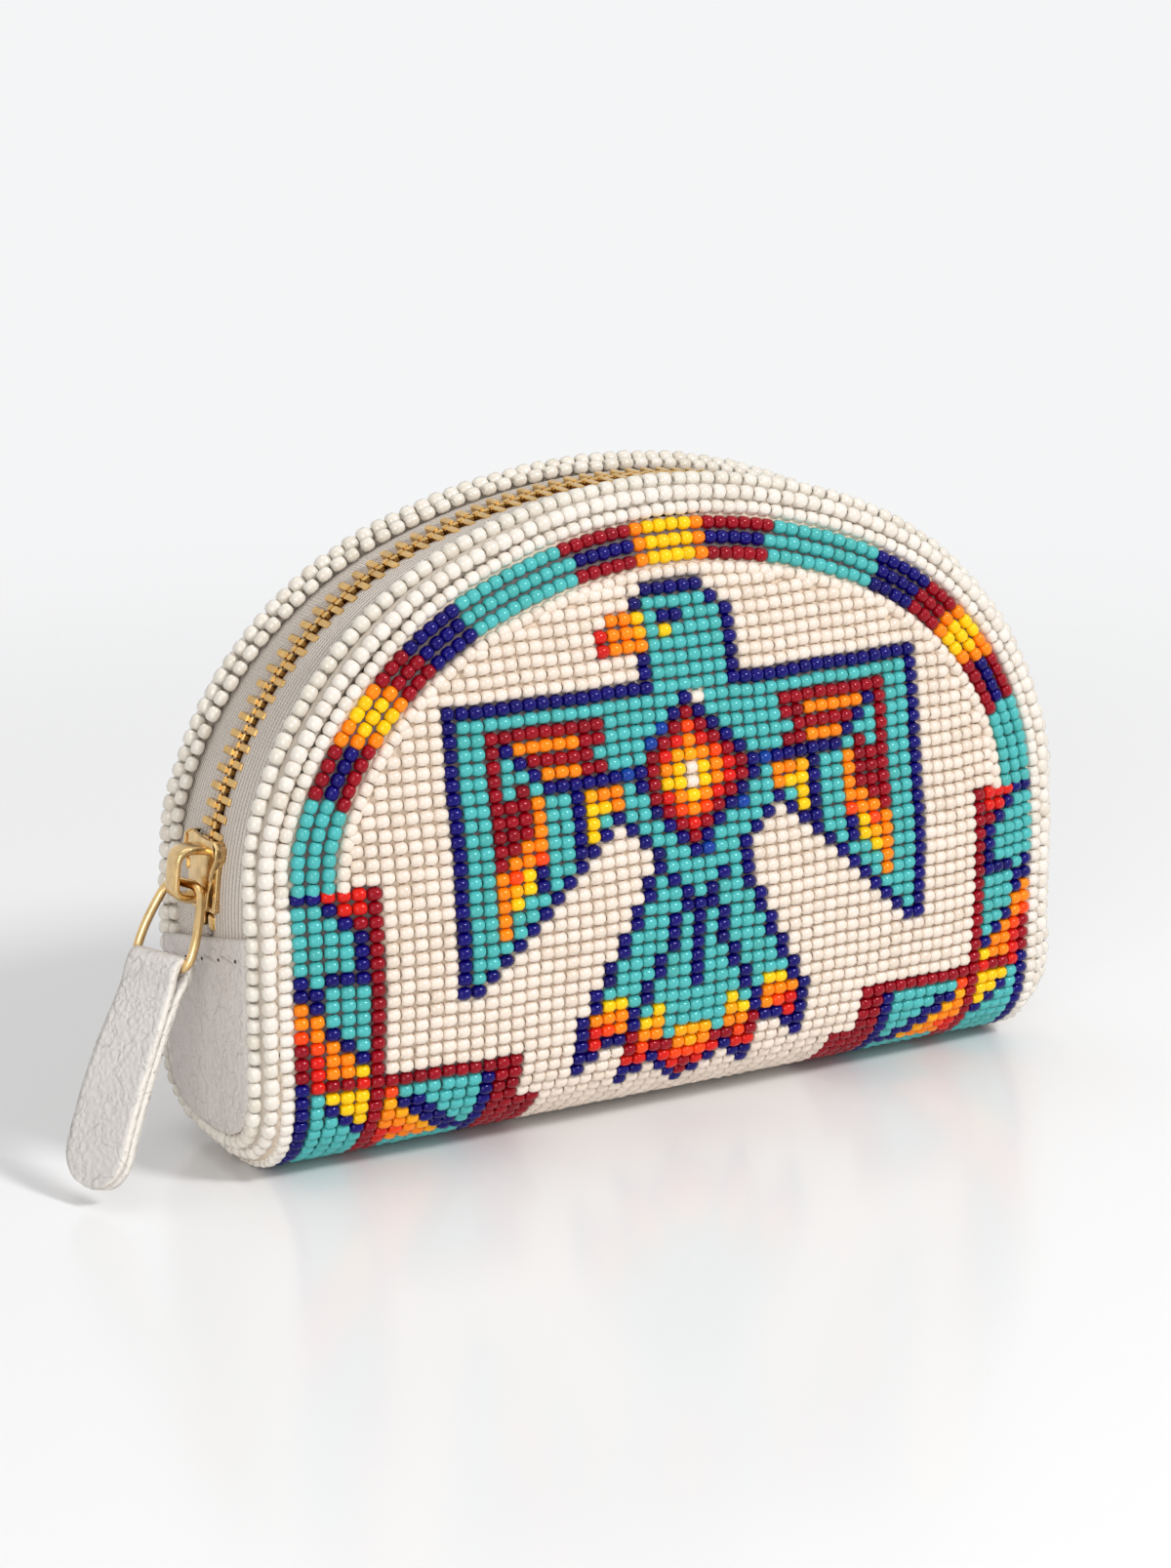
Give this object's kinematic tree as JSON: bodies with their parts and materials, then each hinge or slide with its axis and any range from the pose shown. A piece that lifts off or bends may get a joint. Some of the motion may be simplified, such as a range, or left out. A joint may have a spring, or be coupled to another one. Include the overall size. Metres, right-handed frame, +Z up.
{
  "type": "beaded coin purse",
  "caption": "Half-moon coin purse covered in seed beads, with a beaded edge roll, a metal zip over its arch, and a leather pull tab hanging from the slider.",
  "frame": {"origin": "middle of the flat underside that the purse rests on", "axes": "+Z up, +X along the purse's length away from the slider, -Y out of the front that shows the bird"},
  "size_m": [0.1247, 0.0383, 0.0738],
  "materials": {
    "cream_beads": "opaque glossy seed beads in rows",
    "pearl_beads": "pearly seed beads",
    "turquoise_beads": "opaque glossy seed beads",
    "navy_beads": "dark glossy seed beads",
    "red_beads": "dark red glossy seed beads",
    "orange_beads": "opaque orange seed beads",
    "white_leather": "fine grain, matt",
    "zip_cloth": "woven tape",
    "lining_cloth": "plain cloth",
    "tooth_brass": "dull brass",
    "pale_gold": "polished pale gold plating"
  },
  "bodies": {
    "purse": {"beaded_panel": "cream_beads", "cloth_lining": "lining_cloth", "wing_beads_left": "turquoise_beads", "wing_beads_right": "turquoise_beads", "head_beads": "turquoise_beads", "chest_beads": "red_beads", "tail_beads": "navy_beads", "corner_beads_left": "turquoise_beads", "corner_beads_right": "turquoise_beads", "band_beads_middle": "orange_beads", "band_beads_left_1": "red_beads", "band_beads_right_1": "red_beads", "band_beads_left_2": "turquoise_beads", "band_beads_right_2": "turquoise_beads", "band_beads_left_3": "navy_beads", "band_beads_right_3": "navy_beads", "band_beads_left_4": "red_beads", "band_beads_right_4": "red_beads", "band_beads_left_5": "orange_beads", "band_beads_right_5": "orange_beads", "band_beads_left_6": "red_beads", "band_beads_right_6": "red_beads", "band_beads_left_7": "turquoise_beads", "band_beads_right_7": "turquoise_beads", "beaded_edge_roll": "pearl_beads", "zip_tape_front": "zip_cloth", "zip_teeth_front": "tooth_brass", "zip_tape_back": "zip_cloth", "zip_teeth_back": "tooth_brass", "top_stop_front": "tooth_brass", "top_stop_back": "tooth_brass", "bottom_stop": "tooth_brass", "leather_end_left": "white_leather", "leather_end_right": "white_leather"},
    "slider": {"slider": "pale_gold"},
    "ring": {"pull_ring": "pale_gold"},
    "tab": {"pull_tab": "white_leather"}
  },
  "joints": [
    {"name": "slider_travel", "type": "hinge", "parent": "purse", "child": "slider", "pos_m": [-0.0107, 0, 0.0285], "axis": [0, 1, 0], "range_deg": [0, 55]},
    {"name": "ring_swing", "type": "hinge", "parent": "slider", "child": "ring", "pos_m": [-0.05494, 0, 0.03278], "axis": [-0.3746, 0.9272, 0], "range_deg": [-16, 105]},
    {"name": "tab_swing", "type": "hinge", "parent": "ring", "child": "tab", "pos_m": [-0.05885, -0.00158, 0.02449], "axis": [-0.3746, 0.9272, 0], "range_deg": [-10, 86]}
  ]
}
